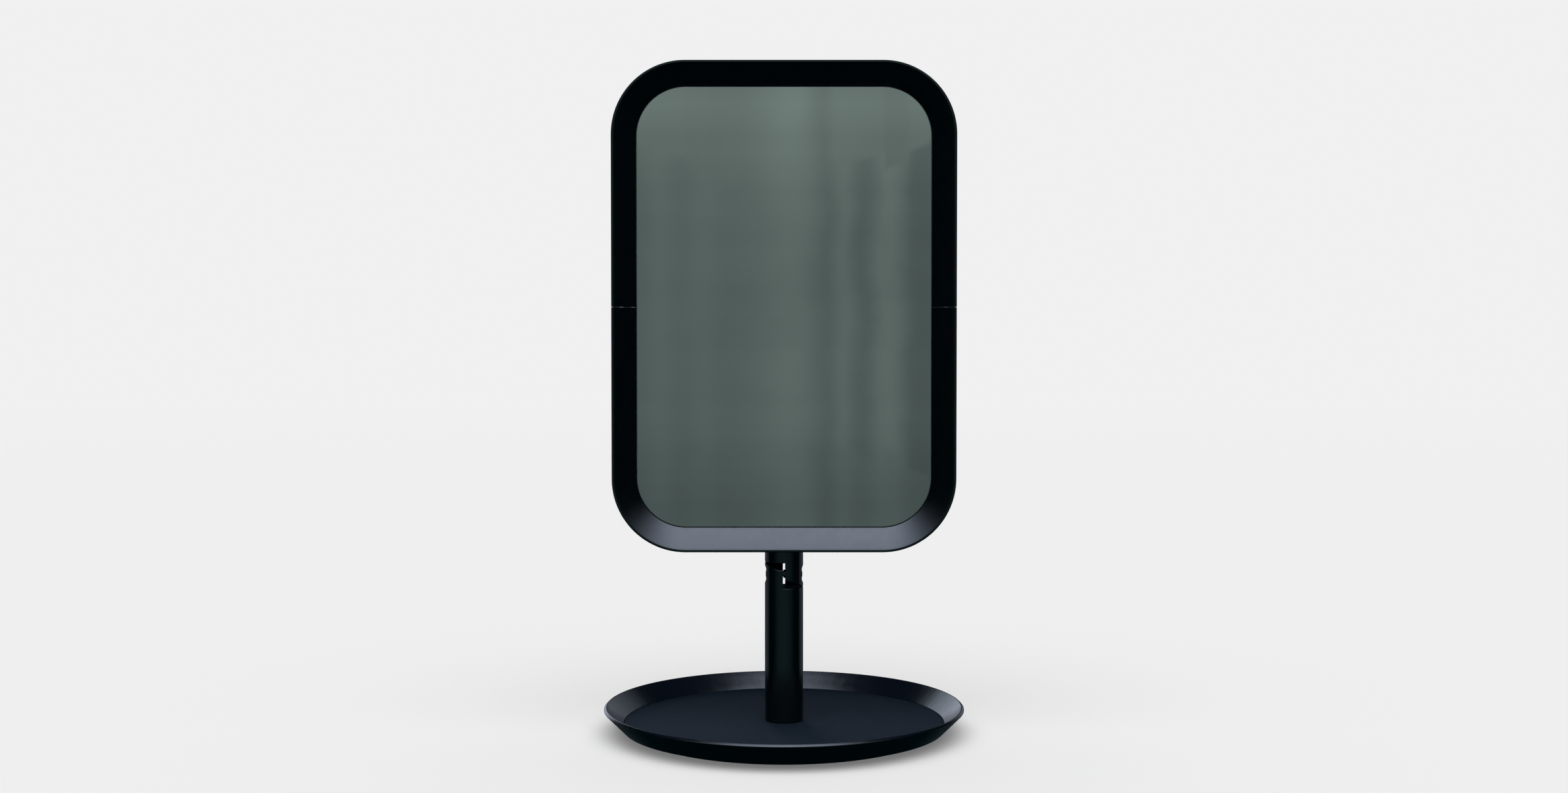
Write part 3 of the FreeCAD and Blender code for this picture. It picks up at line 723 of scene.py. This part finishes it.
def frame_half(name, up, sizes):
    """Carry the frame's section along half of a rounded rectangle.

    At each station the section stands on a ray: point = c + (R - d) n, where c runs along the
    rectangle of corner centres, n is the outward direction, R the corner radius and d the
    distance in. The end stations are drawn in along the section's normal by a small chamfer, and
    near the outer edge d becomes d + k max(0, 1 - d / w), a nick of depth k and reach w.
    """
    section = split_runs(frame_section(sizes), 2.5 * MM)
    half_x = float(UPPER_HIGH[0])
    high = float(UPPER_HIGH[2])
    low = float(LOWER_LOW[2])
    seam = float(UPPER_LOW[2] if up > 0 else LOWER_HIGH[2])
    edge = high if up > 0 else low
    corner = sizes.corner
    cx = half_x - corner
    cz = edge - up * corner
    chamfer = sizes.seam_chamfer
    arc = np.linspace(0, math.pi / 2, 41)
    side_z = np.linspace(seam + up * chamfer, cz, 12)[:-1]
    top_x = np.linspace(-cx, cx, 10)[1:-1]
    ends_z = np.array([seam])
    ones = np.ones_like
    centres = np.concatenate([
        np.stack([-cx * ones(ends_z), ends_z], 1), np.stack([-cx * ones(side_z), side_z], 1),
        np.stack([-cx * ones(arc), cz * ones(arc)], 1), np.stack([top_x, cz * ones(top_x)], 1),
        np.stack([cx * ones(arc), cz * ones(arc)], 1), np.stack([cx * ones(side_z), side_z[::-1]], 1),
        np.stack([cx * ones(ends_z), ends_z], 1)])
    turn = np.concatenate([0 * ends_z, 0 * side_z, arc, math.pi / 2 * ones(top_x), math.pi / 2 + arc,
                           math.pi * ones(side_z), math.pi * ones(ends_z)])
    out = np.stack([-np.cos(turn), up * np.sin(turn)], 1)
    inset = np.zeros(len(turn))
    inset[[0, -1]] = chamfer
    normal = outline_normals(section)
    facing = 1.0 if signed_area(section) > 0 else -1.0
    shape = section[None] - normal[None] * facing * inset[:, None, None]
    ends = (inset > 0)[:, None]
    nick = sizes.seam_nick * np.clip(1 - section[:, 0] / sizes.seam_reach, 0, 1)
    d = shape[..., 0] + ends * nick
    x = centres[:, 0][:, None] + (corner - d) * out[:, 0][:, None]
    z = centres[:, 1][:, None] + (corner - d) * out[:, 1][:, None]
    pts = np.stack([x, shape[..., 1], z], axis=-1).reshape(-1, 3)
    count = len(section)
    faces = grid_faces(len(turn), count, False, True).tolist()
    faces.append(list(range(count)))
    faces.append(list(range(len(pts) - 1, len(pts) - 1 - count, -1)))
    if (up > 0) == (facing > 0):
        faces = [f[::-1] for f in faces]
    half = make_piece(name, pts, faces)
    # painted highlight: the seam's chamfers and end faces are marked for the primer specks that stand in
    # for glints
    bare = np.zeros(len(half.data.polygons), dtype=np.float32)
    bare[:count] = 1.0
    bare[-2 - count:] = 1.0
    half.data.attributes.new("bare", "FLOAT", "FACE").data.foreach_set("value", bare)
    return half


def signed_area(outline):
    """Twice the area inside an outline, positive when it runs anticlockwise."""
    x, y = outline[:, 0], outline[:, 1]
    return float(np.sum(x * np.roll(y, -1) - np.roll(x, -1) * y))


class MIRROR_OT_frame_halves(bpy.types.Operator):
    """Carry the dished section round the upper and the lower half of the frame"""

    bl_idname = "mirror.frame_halves"
    bl_label = "Frame halves"

    def execute(self, context):
        sizes = context.scene.mirror_sizes
        for name, up, node in (("frame_upper_swept", 1, "frame_upper"),
                               ("frame_lower_swept", -1, "frame_lower")):
            half = frame_half(name, up, sizes)
            paint(half, lacquer("seamed_lacquer", bare=True))
            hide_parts(node)
            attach(half, "head")
        return {"FINISHED"}


class MIRROR_OT_glass(bpy.types.Operator):
    """Cut the mirror glass with its ground edge"""

    bl_idname = "mirror.glass"
    bl_label = "Mirror glass"

    def execute(self, context):
        glass = rounded_pane("mirror_glass_pane", context.scene.mirror_sizes)
        paint(glass, silvered_glass("silvered_pane"))
        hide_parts("mirror_glass")
        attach(glass, "head")
        return {"FINISHED"}


def rounded_pane(name, sizes):
    """A pane whose rounded-rectangle outline is carried through a bevelled edge profile.

    Point (i, j) is the corner centre c_j plus (R - inset_i)(cos a_j, sin a_j), at depth_i, where R is
    the corner radius and a_j the angle round the outline. One flat face closes each end.
    """
    half_x = float(GLASS_HIGH[0])
    low, high = float(GLASS_LOW[2]), float(GLASS_HIGH[2])
    front, back = float(GLASS_LOW[1]), float(GLASS_HIGH[1])
    corner = sizes.glass_corner
    arris = sizes.arris
    profile = [(arris, front), (0.05 * MM, front + arris * 0.9), (0.0, front + arris),
               (0.0, back - 0.2 * MM), (0.2 * MM, back)]
    arc = np.linspace(0, math.pi / 2, 33)
    turn = np.concatenate([arc + k * math.pi / 2 for k in range(4)])
    sx = np.repeat([1.0, -1.0, -1.0, 1.0], len(arc))
    sz = np.repeat([1.0, 1.0, -1.0, -1.0], len(arc))
    mid = (low + high) / 2
    cx = sx * (half_x - corner)
    cz = mid + sz * ((high - low) / 2 - corner)
    inset = np.array([p[0] for p in profile])[:, None]
    depth = np.array([p[1] for p in profile])[:, None]
    pts = np.stack([cx + (corner - inset) * np.cos(turn), depth + 0 * turn,
                    cz + (corner - inset) * np.sin(turn)], axis=-1)
    count = len(turn)
    rows = len(profile)
    faces = grid_faces(rows, count, False, True).tolist()
    faces.append(list(range(count)))
    faces.append(list(range(rows * count - 1, (rows - 1) * count - 1, -1)))
    pane = make_piece(name, pts.reshape(-1, 3), faces, 20.0)
    sides = np.empty(len(pane.data.polygons), dtype=np.int32)
    pane.data.polygons.foreach_get("loop_total", sides)
    ground = (sides == 4).astype(np.float32)
    pane.data.polygons.foreach_set("use_smooth", sides == 4)
    pane.data.attributes.new("ground", "FLOAT", "FACE").data.foreach_set("value", ground)
    return pane


class MIRROR_OT_post_and_stub(bpy.types.Operator):
    """Finish the post, the stub and the bracket"""

    bl_idname = "mirror.post_and_stub"
    bl_label = "Post and stub"

    def execute(self, context):
        for name in ("lower_post", "upper_stub", "mount_plate", "joiner_plates", "ballast_plate"):
            paint(NODES[name], lacquer())
        return {"FINISHED"}


class MIRROR_OT_hinge_parts(bpy.types.Operator):
    """Finish the pin, spacer, springs, caps and bush of the lap hinge"""

    bl_idname = "mirror.hinge_parts"
    bl_label = "Hinge parts"

    def execute(self, context):
        steel = turned_steel("pin_steel", (0.34, 0.36, 0.38), "X")
        for name in ("pivot_pin", "spacer_washer", "disc_springs"):
            paint(NODES[name], steel)
        paint(NODES["hinge_bush"], turned_steel("bush_brass", (0.72, 0.55, 0.28), "X"))
        paint(NODES["retaining_caps"], black_oxide("cap_steel"))
        return {"FINISHED"}


class MIRROR_OT_fasteners(bpy.types.Operator):
    """Finish the screws, dowels and inserts"""

    bl_idname = "mirror.fasteners"
    bl_label = "Fasteners"

    def execute(self, context):
        oxide = black_oxide("screw_oxide")
        for name in ("joiner_screws", "panel_screws", "bracket_screws"):
            paint(NODES[name], oxide)
        zinc = turned_steel("screw_zinc", (0.6, 0.61, 0.64), "Z")
        for name in ("post_screw", "plate_screws", "dowel_pins"):
            paint(NODES[name], zinc)
        paint(NODES["stub_screws"], turned_steel("cap_screw_zinc", (0.6, 0.61, 0.64), "Y"))
        paint(NODES["threaded_inserts"], turned_steel("insert_brass", (0.72, 0.55, 0.28), "Y"))
        return {"FINISHED"}


class MIRROR_OT_back_and_foot(bpy.types.Operator):
    """Finish the back panel, backing board, tape and grip ring"""

    bl_idname = "mirror.back_and_foot"
    bl_label = "Back and foot"

    def execute(self, context):
        paint(NODES["back_panel"], grained_plastic("panel_grain", (0.006, 0.007, 0.009),
                                                   (0.011, 0.012, 0.015)))
        paint(NODES["backing_board"], fibre("board_fibre", (0.22, 0.16, 0.1), (0.36, 0.28, 0.19)))
        paint(NODES["glass_tape"], fibre("tape_foam", (0.02, 0.02, 0.02), (0.05, 0.05, 0.05)))
        paint(NODES["grip_ring"], rubber("grip_rubber"))
        return {"FINISHED"}


class VIEW3D_PT_mirror(bpy.types.Panel):
    """Lists the mirror's operators and sizes"""

    bl_label = "Countertop Mirror"
    bl_idname = "VIEW3D_PT_mirror"
    bl_space_type = "VIEW_3D"
    bl_region_type = "UI"
    bl_category = "Mirror"

    def draw(self, context):
        layout = self.layout
        for cls in OPERATORS:
            layout.operator(cls.bl_idname)
        for group in (context.scene.mirror_sizes, context.scene.mirror_colours):
            for key in type(group).__annotations__:
                layout.prop(group, key)


OPERATORS = (
    MIRROR_OT_stage,
    MIRROR_OT_base_tray,
    MIRROR_OT_tray_mat,
    MIRROR_OT_frame_halves,
    MIRROR_OT_glass,
    MIRROR_OT_post_and_stub,
    MIRROR_OT_hinge_parts,
    MIRROR_OT_fasteners,
    MIRROR_OT_back_and_foot,
)
CLASSES = (MirrorSizes, MirrorColours, *OPERATORS, VIEW3D_PT_mirror)


def register():
    """Register the classes and hang the settings on the scene."""
    for cls in CLASSES:
        bpy.utils.register_class(cls)
    bpy.types.Scene.mirror_sizes = bpy.props.PointerProperty(type=MirrorSizes)
    bpy.types.Scene.mirror_colours = bpy.props.PointerProperty(type=MirrorColours)


def unregister():
    """Take the settings off the scene and unregister the classes."""
    del bpy.types.Scene.mirror_colours
    del bpy.types.Scene.mirror_sizes
    for cls in reversed(CLASSES):
        bpy.utils.unregister_class(cls)


def main():
    """Build everything in order."""
    register()
    bpy.ops.mirror.stage()
    bpy.ops.mirror.base_tray()
    bpy.ops.mirror.tray_mat()
    bpy.ops.mirror.frame_halves()
    bpy.ops.mirror.glass()
    bpy.ops.mirror.post_and_stub()
    bpy.ops.mirror.hinge_parts()
    bpy.ops.mirror.fasteners()
    bpy.ops.mirror.back_and_foot()


if __name__ == "__main__":
    main()
